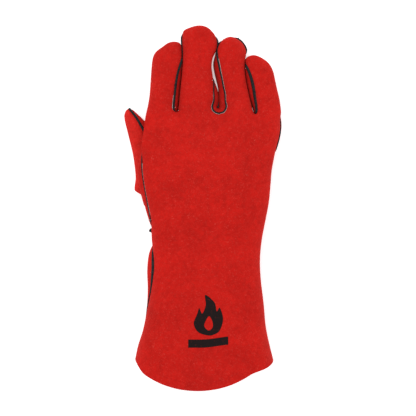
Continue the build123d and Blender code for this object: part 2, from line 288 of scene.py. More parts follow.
def place(finger, across, along):
    n, d = axes_of(finger)
    return np.array([finger.x, finger.y]) + across * n + along * d


def local(finger, x, y):
    """Across and along coordinates of plan points."""
    n, d = axes_of(finger)
    dx, dy = x - finger.x, y - finger.y
    return dx * n[0] + dy * n[1], dx * d[0] + dy * d[1]


def outline():
    """All samples from the hem's left end, round the fingers, to the hem's right end."""
    knots = LEFT_SIDE + INDEX + CROTCHES[0] + MIDDLE + CROTCHES[1] + RING + CROTCHES[2] + LITTLE + RIGHT_SIDE
    rows = evenly(spline(knots, 0.5), 0.5)
    for _ in range(3):
        rows[1:-1] = (rows[:-2] + 2 * rows[1:-1] + rows[2:]) / 4
    seam = rows[:, :2] + inward(rows) * rows[:, 4:5]
    steps = [np.linalg.norm(np.diff(line, axis=0), axis=1) for line in (rows[:, :2], seam)]
    length = np.concatenate([[0], np.cumsum((steps[0] + steps[1]) / 2)])
    return evenly(rows, STEP, length)


def inward(rows):
    """Unit normals of the outline that point into the glove."""
    t = np.gradient(rows[:, :2], axis=0)
    t /= np.linalg.norm(t, axis=1)[:, None]
    return np.stack([t[:, 1], -t[:, 0]], axis=1)


def hem(left, right, shorter=0.0):
    """Plan points of the curved hem, from its right end back to its left end."""
    centre_y = HEM_Y + HEM_RADIUS
    radius = HEM_RADIUS - shorter
    a, b = (math.atan2(p[0] - HEM_X, centre_y - p[1]) for p in (right, left))
    radius_a, radius_b = (math.hypot(p[0] - HEM_X, p[1] - centre_y) for p in (right, left))
    count = int(abs(a - b) * HEM_RADIUS / STEP)
    points = []
    for k in range(1, count):
        t = k / count
        angle = a + (b - a) * t
        end = smooth(np.array([t / RIGHT_CORNER, (1 - t) / LEFT_CORNER]))
        r = radius + (radius_a - radius) * (1 - end[0]) + (radius_b - radius) * (1 - end[1])
        points.append((HEM_X + r * math.sin(angle), centre_y - r * math.cos(angle)))
    return np.array(points)


OUT = outline()
NORMAL = inward(OUT)


# ------------------------------------------------------------------ heights, millimetres


def top_height(x, y):
    """Height of the flat middle of the glove's back: fingers, hand, wrist, cuff."""
    h = np.interp(y, [-178, -100, -30, 40, 100, 128], [46.0, 41.5, 36.5, 33.0, 26.5, 25.0])
    little = smooth((x + 0.19 * (y - 101) - 46.0) / 6.0) * smooth((y - 84) / 16)
    return h - 1.6 * little


def edge_radius(y):
    """How far from the outline the back goes on rounding."""
    return np.interp(y, [-178, -60, 40, 82, 104, 180], [22.0, 24.0, 22.0, 17.0, 10.6, 10.6])


def lumps(x, y, size, seed):
    """Smooth noise between about -1 and 1, with lumps of the given size."""
    return np.array(
        [noise.noise((a / size, b / size, seed)) for a, b in zip(x.tolist(), y.tolist())]
    )


# A crease: its two ends, depth and half width
CREASES_BACK = [
    (-50, 139, -24, 143, 0.7, 1.5),
    (-48, 126, -36, 130, 0.8, 1.5),
    (-36, 130, -29, 127, 0.6, 1.5),
    (-19, 143, 4, 143.5, 0.8, 1.5),
    (-16, 137, 6, 138, 0.4, 1.8),
    (18, 138, 40, 139, 0.8, 1.6),
    (45, 130, 69, 132, 0.6, 1.8),
    (-50, 106, -30, 104, 0.5, 3.4),
    (-18, 107, 6, 106, 0.5, 3.6),
    (24, 107, 44, 106, 0.5, 3.4),
    (52, 103, 72, 104, 0.5, 3.0),
    (50, 90, 60, 82, 0.6, 2.0),
    (26, 88, -2, 74, 0.5, 3.0),
    (-48, -18, -12, -30, 0.9, 4.6),
    (-46, -34, 4, -27, 0.8, 5.5),
    (20, -30, 56, -22, 0.9, 4.5),
    (-20, -44, 44, -40, 0.6, 6.5),
    (-52, 22, -26, 6, 0.8, 5.0),
    (60, 34, 40, 8, 0.6, 5.5),
    (-50, -66, -20, -88, 0.7, 6.0),
    (56, -60, 30, -76, 0.6, 6.0),
]


def creases(x, y, lines):
    """Shallow folds along short lines, fading out at their ends."""
    total = np.zeros_like(x)
    for x0, y0, x1, y1, depth, width in lines:
        dx, dy = x1 - x0, y1 - y0
        length = math.hypot(dx, dy)
        along = ((x - x0) * dx + (y - y0) * dy) / length**2
        aside = ((x - x0) * -dy + (y - y0) * dx) / length
        wander = 1.2 * np.sin(along * 7.0 + x0) + 0.5 * np.sin(along * 17.0 + y0)
        fade = smooth((along + 0.12) / 0.25) * smooth((1.12 - along) / 0.25)
        fold = np.exp(-(((aside - wander) / width) ** 2))
        ridge = 0.45 * np.exp(-(((aside - wander - 2.1 * width) / (1.3 * width)) ** 2))
        total += depth * fade * (ridge - fold)
    return total


def leather_back(x, y):
    """What wear and lining do to the back: broad waves, small waves, creases."""
    broad = 1.5 * lumps(x, y, 46.0, 1.3) * smooth((112 - y) / 50)
    middling = 0.55 * lumps(x, y, 17.0, 4.1) + 0.28 * lumps(x, y, 8.0, 7.7)
    return broad + middling + creases(x, y, CREASES_BACK)


def rounded(t):
    """A quarter round: 0 at the seam, where it starts upright, and 1 where it is flat."""
    t = np.clip(t, 0.0, 1.0)
    return np.sqrt(1 - (1 - t) ** 2)


def back_z(x, y, distance, seam, index):
    radius = edge_radius(y)
    full = top_height(x, y) + leather_back(x, y) * smooth(distance / radius)
    pucker = 0.16 * np.sin(index * STEP * 2 * math.pi / 7.5) * np.exp(-distance / 4.0)
    rise = rounded(distance / radius)
    return seam + (full - seam) * rise + pucker * smooth(distance / 1.5)


THUMB_X, THUMB_Y, THUMB_LEAN = -48.1, 20.0, 11.5


def thumb_local(x, y):
    """Across and along coordinates in the thumb's own frame, for plan points."""
    lean = math.radians(THUMB_LEAN)
    dx, dy = x - THUMB_X, y - THUMB_Y
    return dx * math.cos(lean) + dy * math.sin(lean), dy * math.cos(lean) - dx * math.sin(lean)


def thumb_place(across, along):
    lean = math.radians(THUMB_LEAN)
    return (
        THUMB_X + across * math.cos(lean) - along * math.sin(lean),
        THUMB_Y + across * math.sin(lean) + along * math.cos(lean),
    )


def over_thumb(x, y):
    """1 where the palm lies on the thumb, 0 where it lies on the table."""
    across, along = thumb_local(x, y)
    swing = math.tan(math.radians(34.0))
    floor_line = np.where(across < 8.0, (across - 8.0) * swing, 0.0)
    right = smooth((21.0 - across) / 6.5)
    above = smooth((along - floor_line + 6.5) / 6.0)
    short_of_tip = smooth((84.0 - along) / 13.0)
    return right * above * short_of_tip


# The seam across the palm under the middle and ring fingers
PALM_SEAM = [
    (-25.2, 91.5), (-22.5, 86.5), (-12.0, 82.0), (12.0, 79.5), (34.0, 80.5), (46.0, 84.0), (49.6, 89.5),
]


def near_path(x, y, path):
    """Distance from plan points to a polyline."""
    best = np.full(len(x), 1e9)
    for (x0, y0), (x1, y1) in zip(path[:-1], path[1:]):
        dx, dy = x1 - x0, y1 - y0
        t = np.clip(((x - x0) * dx + (y - y0) * dy) / (dx * dx + dy * dy), 0, 1)
        best = np.minimum(best, np.hypot(x - x0 - t * dx, y - y0 - t * dy))
    return best


PALM_SEAM_LINE = spline(PALM_SEAM, 3.0)


def palm_z(x, y, distance, seam):
    lift = 20.6 * over_thumb(x, y)
    radius = np.interp(y, [-178, -60, 40, 82, 104, 180], [13.0, 14.0, 13.0, 12.0, 9.0, 9.0])
    waves = 0.75 + 0.7 * lumps(x, y, 24.0, 12.5) + 0.25 * lumps(x, y, 9.0, 3.5)
    finger_folds = np.zeros_like(x)
    for finger in FINGERS.values():
        u, v = local(finger, x, y)
        within = (np.abs(u) < finger.half + 2) * 1.0
        for at, depth in ((0.0, 1.2), (finger.middle, 1.3)):
            finger_folds += within * depth * np.exp(-(((v - at) / 2.6) ** 2))
    seams = 2.0 * np.exp(-((near_path(x, y, PALM_SEAM_LINE) / 1.8) ** 2))
    seams += 2.0 * np.exp(-(((y - WRIST_SEAM_Y) / 1.8) ** 2))
    floor = np.maximum(0.1, 0.1 + waves + finger_folds) + seams + lift
    return seam + (floor - seam) * rounded(distance / radius)


# ------------------------------------------------------------------ meshes


def distance_to(points, line):
    """Distance from each plan point to a polyline, and the index of the nearest sample."""
    best = np.full(len(points), 1e9)
    index = np.zeros(len(points))
    a, b = line[:-1], line[1:]
    d = b - a
    dd = (d * d).sum(1)
    for start in range(0, len(points), 2000):
        p = points[start : start + 2000]
        t = np.clip(((p[:, None] - a[None]) * d[None]).sum(2) / dd[None], 0, 1)
        gap = np.linalg.norm(p[:, None] - a[None] - t[..., None] * d[None], axis=2)
        k = gap.argmin(1)
        best[start : start + 2000] = gap[np.arange(len(p)), k]
        index[start : start + 2000] = k + t[np.arange(len(p)), k]
    return best, index


def inside(points, loop):
    """Which plan points are inside a closed loop."""
    x, y = points[:, 0], points[:, 1]
    result = np.zeros(len(points), bool)
    for (x0, y0), (x1, y1) in zip(loop, np.roll(loop, -1, axis=0)):
        if y0 == y1:
            continue
        crosses = (y0 > y) != (y1 > y)
        result ^= crosses & (x < (x1 - x0) * (y - y0) / (y1 - y0) + x0)
    return result


RINGS = (0.4, 1.3, 2.7, 4.4)


def fill(edge, closing, cuts, grid=GRID):
    """Triangulates the plan between an edge polyline and the points that close it.

    cuts are pairs of edge indices joined by a straight cut line.
    """
    loop = np.vstack([edge, closing])
    n = len(loop)
    t = np.gradient(edge, axis=0)
    t /= np.linalg.norm(t, axis=1)[:, None]
    normal = np.stack([t[:, 1], -t[:, 0]], axis=1)
    extra = []
    for ring in RINGS:
        p = edge + normal * ring
        far, _ = distance_to(p, edge)
        extra.append(p[far > ring * 0.97])
    low, high = loop.min(0), loop.max(0)
    ys = np.arange(low[1], high[1], grid * 0.866)
    rows = []
    for k, y in enumerate(ys):
        xs = np.arange(low[0] + (k % 2) * grid / 2, high[0], grid)
        rows.append(np.stack([xs, np.full(len(xs), y)], axis=1))
    lattice = np.vstack(rows)
    lattice = lattice[inside(lattice, loop)]
    far, _ = distance_to(lattice, edge)
    lattice = lattice[far > RINGS[-1] + grid * 0.6]
    extra.append(lattice)
    points = np.vstack(extra)
    points = points[inside(points, loop)]
    for a, b in cuts:
        line = np.array([loop[a], loop[b]])
        gap, _ = distance_to(points, line)
        points = points[gap > 0.7]
        count = int(math.dist(*line) / grid)
        steps = np.linspace(0, 1, count + 1)[1:-1]
        points = np.vstack([points, line[0] + steps[:, None] * (line[1] - line[0])])
    everything = np.vstack([loop, points])
    edges = [(i, (i + 1) % n) for i in range(n)] + list(cuts)
    co, _, faces, _, _, _ = delaunay_2d_cdt(
        [Vector(p) for p in everything.tolist()], edges, [list(range(n))], 1, 1e-5
    )
    xy = np.array([tuple(c) for c in co])
    tris = np.array([f for f in faces if len(f) == 3])
    a, b, c = xy[tris[:, 0]], xy[tris[:, 1]], xy[tris[:, 2]]
    area = (b[:, 0] - a[:, 0]) * (c[:, 1] - a[:, 1]) - (b[:, 1] - a[:, 1]) * (c[:, 0] - a[:, 0])
    tris = tris[np.abs(area) > 1e-6]
    area = area[np.abs(area) > 1e-6]
    tris[area < 0] = tris[area < 0][:, ::-1]
    return xy, tris


def vertex_normals(co, faces):
    """Smooth normals of triangles or quads, worked out before a sheet is cut up."""
    total = np.zeros_like(co)
    f = np.array(faces)
    for k in range(1, f.shape[1] - 1):
        n = np.cross(co[f[:, k]] - co[f[:, 0]], co[f[:, k + 1]] - co[f[:, 0]])
        for j in (0, k, k + 1):
            np.add.at(total, f[:, j], n)
    return total / np.maximum(np.linalg.norm(total, axis=1), 1e-12)[:, None]


def make_piece(name, co, faces, normals, material, thickness=SKIN):
    """A closed piece of leather: the given outer faces, the same faces a thickness in, and its rim."""
    used = np.unique(faces)
    back = np.full(len(co), -1)
    back[used] = np.arange(len(used))
    outer = co[used]
    n = normals[used]
    f = back[faces]
    count = len(used)
    corner = f.shape[1]
    inner = outer - n * thickness
    pairs = np.vstack([f[:, [i, (i + 1) % corner]] for i in range(corner)])
    seen = {(a, b) for a, b in pairs.tolist()}
    rim = [(b, a, a + count, b + count) for a, b in pairs.tolist() if (b, a) not in seen]
    all_faces = [tuple(q) for q in f.tolist()]
    all_faces += [tuple(i + count for i in reversed(q)) for q in f.tolist()]
    all_faces += rim
    verts = np.vstack([outer, inner])
    all_normals = np.vstack([n, -n])
    mesh = bpy.data.meshes.new(name)
    mesh.from_pydata((verts * MM).tolist(), [], all_faces)
    mesh.validate()
    mesh.shade_smooth()
    loops = np.zeros(len(mesh.loops), int)
    mesh.loops.foreach_get("vertex_index", loops)
    split = all_normals[loops]
    rim_start = len(mesh.loops) - 4 * len(rim)
    for k in range(len(rim)):
        at = rim_start + 4 * k
        a, b, c, _ = (verts[i] for i in loops[at : at + 4])
        side = np.cross(b - a, c - b)
        split[at : at + 4] = side / max(np.linalg.norm(side), 1e-12)
    mesh.normals_split_custom_set(split.tolist())
    mesh.materials.append(material)
    piece = bpy.data.objects.new(name, mesh)
    bpy.context.scene.collection.objects.link(piece)
    return piece


def tube(path, radius, proud):
    """Vertices, faces and distance along of a round strip that follows a path.

    radius is one number, or one for each point. proud are directions that a strip's ring starts from.
    """
    sides = 8
    p = np.array(path, float)
    t = np.gradient(p, axis=0)
    t /= np.maximum(np.linalg.norm(t, axis=1), 1e-9)[:, None]
    side = np.cross(t, np.broadcast_to(proud, p.shape))
    side /= np.maximum(np.linalg.norm(side, axis=1), 1e-9)[:, None]
    up = np.cross(side, t)
    length = np.concatenate([[0], np.cumsum(np.linalg.norm(np.diff(p, axis=0), axis=1))])
    size = np.broadcast_to(radius, len(p))[:, None]
    turns = [2 * math.pi * k / sides for k in range(sides)]
    rings = [p + (side * math.cos(a) + up * math.sin(a)) * size for a in turns]
    verts = np.stack(rings, axis=1).reshape(-1, 3)
    along = np.repeat(length, sides)
    faces = []
    for i in range(len(p) - 1):
        for k in range(sides):
            a, b = i * sides + k, i * sides + (k + 1) % sides
            faces.append((a, b, b + sides, a + sides))
    last = (len(p) - 1) * sides
    faces.append(tuple(reversed(range(sides))))
    faces.append(tuple(range(last, last + sides)))
    return verts, faces, along


UP = np.array([0.0, 0.0, 1.0])


def make_tubes(name, strips, material):
    """One piece made of round strips, each given as path, radius and starting direction."""
    verts, faces, along, start = [], [], [], 0
    for path, radius, proud in strips:
        v, f, distances = tube(path, radius, proud)
        faces += [tuple(i + start for i in face) for face in f]
        verts.append(v)
        along.append(distances)
        start += len(v)
    mesh = bpy.data.meshes.new(name)
    mesh.from_pydata((np.vstack(verts) * MM).tolist(), [], faces)
    mesh.shade_smooth()
    layer = mesh.attributes.new("along", "FLOAT", "POINT")
    layer.data.foreach_set("value", np.concatenate(along))
    mesh.materials.append(material)
    piece = bpy.data.objects.new(name, mesh)
    bpy.context.scene.collection.objects.link(piece)
    return piece


# ------------------------------------------------------------------ materials


def new_material(name):
    material = bpy.data.materials.new(name)
    material.use_nodes = True
    nodes, links = material.node_tree.nodes, material.node_tree.links
    shader = nodes["Principled BSDF"]
    return material, nodes, links, shader


def add(nodes, kind, **settings):
    node = nodes.new(kind)
    for key, value in settings.items():
        if key in node.inputs:
            node.inputs[key].default_value = value
        else:
            setattr(node, key, value)
    return node


def ramp(nodes, links, source, stops):
    node = nodes.new("ShaderNodeValToRGB")
    elements = node.color_ramp.elements
    while len(elements) < len(stops):
        elements.new(0.5)
    for element, (position, colour) in zip(elements, stops):
        element.position = position
        element.color = (*colour, 1.0) if len(colour) == 3 else colour
    links.new(source, node.inputs["Fac"])
    return node.outputs["Color"]


def mix(nodes, links, factor, first, second, blend="MIX"):
    node = nodes.new("ShaderNodeMix")
    node.data_type = "RGBA"
    node.blend_type = blend
    for socket, value in (("Factor", factor), ("A", first), ("B", second)):
        target = node.inputs[socket] if socket == "Factor" else node.inputs[6 if socket == "A" else 7]
        if hasattr(value, "is_linked"):
            links.new(value, target)
        elif isinstance(value, (int, float)):
            target.default_value = value
        else:
            target.default_value = (*value, 1.0)
    return node.outputs[2]


def suede(name, base):
    """Napped split leather: cloudy patches, a short brushed nap and a few pale fibres."""
    material, nodes, links, shader = new_material(name)
    where = nodes.new("ShaderNodeTexCoord").outputs["Object"]
    patches = add(nodes, "ShaderNodeTexNoise", Scale=32.0, Detail=6.0, Roughness=0.66)
    brushed = add(nodes, "ShaderNodeTexNoise", Scale=260.0, Detail=4.0, Roughness=0.7, Distortion=0.8)
    nap = add(nodes, "ShaderNodeTexNoise", Scale=950.0, Detail=3.0, Roughness=0.7)
    fibres = add(nodes, "ShaderNodeTexNoise", Scale=520.0, Detail=1.0, Distortion=2.5)
    for node in (patches, brushed, nap, fibres):
        links.new(where, node.inputs["Vector"])
    dark = tuple(c * 0.86 for c in base)
    light = tuple(c * 1.12 for c in base)
    cloud = ramp(nodes, links, patches.outputs["Fac"], [(0.3, dark), (0.5, base), (0.7, light)])
    stroke = ramp(nodes, links, brushed.outputs["Fac"], [(0.3, (0.86,) * 3), (0.7, (1.12,) * 3)])
    colour = mix(nodes, links, 1.0, cloud, stroke, "MULTIPLY")
    fibre_mask = ramp(nodes, links, fibres.outputs["Fac"], [(0.58, (0, 0, 0)), (0.78, (0.6,) * 3)])
    colour = mix(nodes, links, fibre_mask, colour, (base[0] * 1.25, 0.06, 0.045))
    links.new(colour, shader.inputs["Base Color"])
    shader.inputs["Roughness"].default_value = 0.95
    shader.inputs["Specular IOR Level"].default_value = 0.08
    shader.inputs["Sheen Weight"].default_value = 0.10
    shader.inputs["Sheen Roughness"].default_value = 0.5
    shader.inputs["Sheen Tint"].default_value = (1.0, 0.25, 0.2, 1.0)
    height = add(nodes, "ShaderNodeMath", operation="MULTIPLY_ADD")
    links.new(nap.outputs["Fac"], height.inputs[0])
    height.inputs[1].default_value = 0.55
    links.new(brushed.outputs["Fac"], height.inputs[2])
    bump = add(nodes, "ShaderNodeBump", Strength=0.4, Distance=0.0006)
    links.new(height.outputs[0], bump.inputs["Height"])
    links.new(bump.outputs["Normal"], shader.inputs["Normal"])
    return material


def welt_leather():
    """Black welt, dimpled where the seam's stitches bite into it."""
    material, nodes, links, shader = new_material("welt_leather")
    attribute = add(nodes, "ShaderNodeAttribute", attribute_name="along")
    grain = add(nodes, "ShaderNodeTexNoise", Scale=700.0, Detail=3.0)
    links.new(nodes.new("ShaderNodeTexCoord").outputs["Object"], grain.inputs["Vector"])
    rate = add(nodes, "ShaderNodeMath", operation="MULTIPLY")
    rate.inputs[1].default_value = 2 * math.pi / 3.4
    links.new(attribute.outputs["Fac"], rate.inputs[0])
    wave = add(nodes, "ShaderNodeMath", operation="SINE")
    links.new(rate.outputs[0], wave.inputs[0])
    colour = ramp(nodes, links, grain.outputs["Fac"], [(0.3, (0.008, 0.008, 0.009)), (0.75, (0.028,) * 3)])
    links.new(colour, shader.inputs["Base Color"])
    shader.inputs["Roughness"].default_value = 0.7
    shader.inputs["Specular IOR Level"].default_value = 0.1
    total = add(nodes, "ShaderNodeMath", operation="MULTIPLY_ADD")
    links.new(wave.outputs[0], total.inputs[0])
    total.inputs[1].default_value = 0.3
    links.new(grain.outputs["Fac"], total.inputs[2])
    bump = add(nodes, "ShaderNodeBump", Strength=0.5, Distance=0.0004)
    links.new(total.outputs[0], bump.inputs["Height"])
    links.new(bump.outputs["Normal"], shader.inputs["Normal"])
    return material


def fleece(name, base, scale):
    """Brushed lining: soft tufts and a slight weave of shade."""
    material, nodes, links, shader = new_material(name)
    place_node = nodes.new("ShaderNodeTexCoord")
    tufts = add(nodes, "ShaderNodeTexVoronoi", Scale=scale)
    shade = add(nodes, "ShaderNodeTexNoise", Scale=90.0, Detail=4.0)
    links.new(place_node.outputs["Object"], tufts.inputs["Vector"])
    links.new(place_node.outputs["Object"], shade.inputs["Vector"])
    dark = tuple(c * 0.72 for c in base)
    colour = ramp(nodes, links, shade.outputs["Fac"], [(0.35, dark), (0.65, base)])
    links.new(colour, shader.inputs["Base Color"])
    shader.inputs["Roughness"].default_value = 0.95
    shader.inputs["Sheen Weight"].default_value = 0.4
    bump = add(nodes, "ShaderNodeBump", Strength=0.7, Distance=0.001)
    links.new(tufts.outputs["Distance"], bump.inputs["Height"])
    links.new(bump.outputs["Normal"], shader.inputs["Normal"])
    return material


def sewing_thread(name, dark, light):
    """Twisted sewing thread."""
    material, nodes, links, shader = new_material(name)
    twist = add(nodes, "ShaderNodeTexWave", Scale=520.0, Distortion=1.0)
    links.new(nodes.new("ShaderNodeTexCoord").outputs["Object"], twist.inputs["Vector"])
    colour = ramp(nodes, links, twist.outputs["Fac"], [(0.2, dark), (0.8, light)])
    links.new(colour, shader.inputs["Base Color"])
    shader.inputs["Roughness"].default_value = 0.8
    shader.inputs["Specular IOR Level"].default_value = 0.1
    return material


def print_ink():
    """Screen-printed black ink that has soaked into the nap and lost a little of its cover."""
    material, nodes, links, shader = new_material("print_ink")
    place_node = nodes.new("ShaderNodeTexCoord")
    worn = add(nodes, "ShaderNodeTexNoise", Scale=420.0, Detail=4.0, Roughness=0.7)
    nap = add(nodes, "ShaderNodeTexNoise", Scale=900.0, Detail=3.0, Roughness=0.7)
    links.new(place_node.outputs["Object"], worn.inputs["Vector"])
    links.new(place_node.outputs["Object"], nap.inputs["Vector"])
    colour = ramp(
        nodes, links, worn.outputs["Fac"],
        [(0.0, (0.008, 0.006, 0.006)), (0.62, (0.014, 0.008, 0.008)), (0.80, (0.16, 0.01, 0.008))],
    )
    links.new(colour, shader.inputs["Base Color"])
    shader.inputs["Roughness"].default_value = 0.9
    shader.inputs["Specular IOR Level"].default_value = 0.1
    bump = add(nodes, "ShaderNodeBump", Strength=0.6, Distance=0.0006)
    links.new(nap.outputs["Fac"], bump.inputs["Height"])
    links.new(bump.outputs["Normal"], shader.inputs["Normal"])
    return material


RED = suede("red_suede", (0.47, 0.009, 0.006))
# A lighter copy of the red suede, a painted highlight: the thumb's outer panel is the same leather, made
# lighter where the light falls on it.
LIT_SUEDE = suede("painted_light_suede", (0.55, 0.014, 0.010))
# A darker copy of the red suede, painted shade: the sidewalls in the gaps between the fingers are the same
# leather, darkened for the shade they lie in.
SHADED_SUEDE = suede("painted_shade_suede", (0.40, 0.0065, 0.0045))
WELT = welt_leather()
FLEECE = fleece("hand_fleece", (0.72, 0.68, 0.60), 900.0)
CANVAS = fleece("cuff_canvas", (0.24, 0.27, 0.32), 1400.0)
RED_THREAD = sewing_thread("red_thread", (0.42, 0.008, 0.006), (0.50, 0.010, 0.007))
GREY_THREAD = sewing_thread("grey_thread", (0.20, 0.19, 0.18), (0.42, 0.41, 0.38))
INK = print_ink()

# ------------------------------------------------------------------ cutting the sheets into zones


def nearest_sample(point):
    return int(np.hypot(OUT[:, 0] - point[0], OUT[:, 1] - point[1]).argmin())


def cut_lines():
    """Outline indices of the cuts across each finger: a lower cut, from gap to gap, and an upper one."""
    bottoms = [nearest_sample(np.mean([knot[:2] for knot in pair], axis=0)) for pair in CROTCHES]
    left_end = nearest_sample((-54.9, 93.0))
    right_end = nearest_sample((76.5, 91.5))
    ends = list(zip([left_end] + [i + 1 for i in bottoms], [i - 1 for i in bottoms] + [right_end]))
    lines = {}
    for (name, finger), lower in zip(FINGERS.items(), ends):
        upper = []
        for side in (-1, 1):
            target = place(finger, side * finger.half, finger.cut)
            span = np.arange(lower[0] + 4, lower[1] - 4)
            tip_at = span[OUT[span, 1].argmax()]
            span = span[span < tip_at] if side < 0 else span[span > tip_at]
            gap = np.hypot(OUT[span, 0] - target[0], OUT[span, 1] - target[1])
            upper.append(int(span[gap.argmin()]))
        lines[name] = [lower, tuple(upper)]
    return lines


CUTS = cut_lines()
ALL_CUTS = [line for pair in CUTS.values() for line in pair]


def zone_of(x, y):
    """0 for the hand and cuff, then 1 and 2 for each finger's lower and upper zone, in finger order."""
    zone = np.zeros(len(x), int)
    for k, (name, finger) in enumerate(FINGERS.items()):
        for level, (a, b) in enumerate(CUTS[name]):
            p, q = OUT[a, :2], OUT[b, :2]
            beyond = (q[0] - p[0]) * (y - p[1]) - (q[1] - p[1]) * (x - p[0]) > 0
            low, high = OUT[CUTS[name][0][0]], OUT[CUTS[name][0][1]]
            u, _ = local(finger, x, y)
            u_low, _ = local(finger, low[0], low[1])
            u_high, _ = local(finger, high[0], high[1])
            within = (u > u_low - 3.0) & (u < u_high + 3.0)
            zone[beyond & within] = 1 + 2 * k + level
    return zone


def zone_of_samples():
    """The zone of each stretch between outline samples."""
    zone = np.zeros(len(OUT) - 1, int)
    for k, name in enumerate(FINGERS):
        for level, (a, b) in enumerate(CUTS[name]):
            zone[a:b] = 1 + 2 * k + level
    return zone


SAMPLE_ZONE = zone_of_samples()
ZONES = [("hand", 0)] + [
    (f"{name}_{part}", 1 + 2 * k + level)
    for k, name in enumerate(FINGERS)
    for level, part in enumerate(("lower", "upper"))
]


def bend(piece, zone):
    """Bakes a piece's transform into its mesh, in every zone alike."""
    if zone <= 0:
        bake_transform(piece)
        return piece
    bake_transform(piece)
    return piece


# A surface: points, triangles, point normals and the zone of each triangle
Surface = namedtuple("Surface", "co tris normals zones")


def surface(*parts):
    """Joins (points, faces, zones) parts into one surface, welded where their points meet."""
    co, tris, zones, start = [], [], [], 0
    for c, f, z in parts:
        f, z = np.asarray(f), np.asarray(z)
        if f.shape[1] == 4:
            f, z = np.vstack([f[:, [0, 1, 2]], f[:, [0, 2, 3]]]), np.concatenate([z, z])
        co.append(c)
        tris.append(f + start)
        zones.append(z)
        start += len(c)
    co, tris, zones = np.vstack(co), np.vstack(tris), np.concatenate(zones)
    _, first, weld = np.unique(np.round(co + 0.000237, 3), axis=0, return_index=True, return_inverse=True)
    co, tris = co[first], weld.reshape(-1)[tris]
    whole = (tris[:, 0] != tris[:, 1]) & (tris[:, 1] != tris[:, 2]) & (tris[:, 2] != tris[:, 0])
    tris, zones = tris[whole], zones[whole]
    return Surface(co, tris, vertex_normals(co, tris), zones)


def in_zones(name, sheet, material, thickness=SKIN):
    """Cuts a finished surface into one piece for each zone, and bakes each piece's transform."""
    made = {}
    for label, zone in [("cuff", CUFF)] + ZONES:
        mine = sheet.tris[sheet.zones == zone]
        if len(mine):
            piece = make_piece(
                f"{label}_{name}", sheet.co, mine, sheet.normals, material, thickness
            )
            made[label] = bend(piece, zone)
    return made


# ------------------------------------------------------------------ back and palm panels, sidewalls

(EDGE_INSET, EDGE_Z, TOP_INSET, TOP_Z, WIDE_INSET, WIDE_Z, LOW_INSET, LOW_Z, WALL, WELT_SIZE) = range(2, 12)
BACK_EDGE = OUT[:, :2] + NORMAL * OUT[:, EDGE_INSET, None]
PALM_EDGE = OUT[:, :2] + NORMAL * OUT[:, LOW_INSET, None]
CUFF = -1


def at_samples(index, column):
    return np.interp(index, np.arange(len(OUT)), OUT[:, column])


def back_at(xy):
    """Points of the back's surface at plan points."""
    far, index = distance_to(xy, BACK_EDGE)
    z = back_z(xy[:, 0], xy[:, 1], far, at_samples(index, EDGE_Z), index)
    return np.column_stack([xy, z])


def palm_at(xy):
    """Points of the palm's surface at plan points."""
    far, index = distance_to(xy, PALM_EDGE)
    z = palm_z(xy[:, 0], xy[:, 1], far, at_samples(index, LOW_Z))
    return np.column_stack([xy, z])


def zones_of_faces(co, tris):
    middle = co[tris].mean(1)
    return zone_of(middle[:, 0], middle[:, 1])


def side_rows(ends, widest):
    """Points across the side of the glove at every outline sample, for one strip.

    ends are the inset and height columns of the strip's two edges, and widest is those of its widest
    place, or None for a strip that only turns under.
    """
    rows = 9 if widest else 6
    co = np.zeros((len(OUT), rows, 3))
    for k, t in enumerate(np.linspace(0, 1, rows)):
        if widest:
            near = OUT[:, ends[0]] if t <= 0.5 else OUT[:, ends[1]]
            far = OUT[:, widest]
            out, up = math.sin(math.pi * t), abs(math.cos(math.pi * t))
        else:
            near, far = OUT[:, ends[0]], OUT[:, ends[1]]
            out, up = 1 - math.cos(math.pi / 2 * t), 1 - math.sin(math.pi / 2 * t)
        inset = far[:, 0] + (near[:, 0] - far[:, 0]) * (1 - out)
        co[:, k, :2] = OUT[:, :2] + NORMAL * inset[:, None]
        co[:, k, 2] = far[:, 1] + (near[:, 1] - far[:, 1]) * up
    return co.reshape(-1, 3), rows


def side_strip(ends, widest, wanted, zones):
    """A strip as (points, faces, zones), with faces on the stretches of outline where it is wanted."""
    co, rows = side_rows(ends, widest)
    faces, face_zones = [], []
    for i in np.flatnonzero(wanted):
        for k in range(rows - 1):
            a = i * rows + k
            faces.append((a, a + 1, a + rows + 1, a + rows))
            face_zones.append(zones[i])
    faces = np.array(faces)
    outward = np.repeat(-NORMAL, rows, axis=0)
    if (vertex_normals(co, faces)[:, :2] * outward).sum() < 0:
        faces = faces[:, ::-1]
    return co, faces, np.array(face_zones)


TURN = ([EDGE_INSET, EDGE_Z], [TOP_INSET, TOP_Z])
BETWEEN = ([TOP_INSET, TOP_Z], [LOW_INSET, LOW_Z])
WIDEST = [WIDE_INSET, WIDE_Z]
turns_under = OUT[:, EDGE_Z] - OUT[:, TOP_Z] > 0.15
turned = turns_under[:-1] | turns_under[1:]
walled = OUT[:-1, WALL] > 0.5
wrist_ends = (nearest_sample((-50, WRIST_SEAM_Y)), nearest_sample((57, WRIST_SEAM_Y)))
palm_zone_of_samples = SAMPLE_ZONE.copy()
palm_zone_of_samples[: wrist_ends[0]] = CUFF
palm_zone_of_samples[wrist_ends[1] :] = CUFF

xy, back_tris = fill(BACK_EDGE, hem(BACK_EDGE[0], BACK_EDGE[-1], BACK_SHORTER), ALL_CUTS)
back_co = back_at(xy)
back_part = (back_co, back_tris, zones_of_faces(back_co, back_tris))
back = surface(back_part, side_strip(TURN, None, turned, SAMPLE_ZONE))

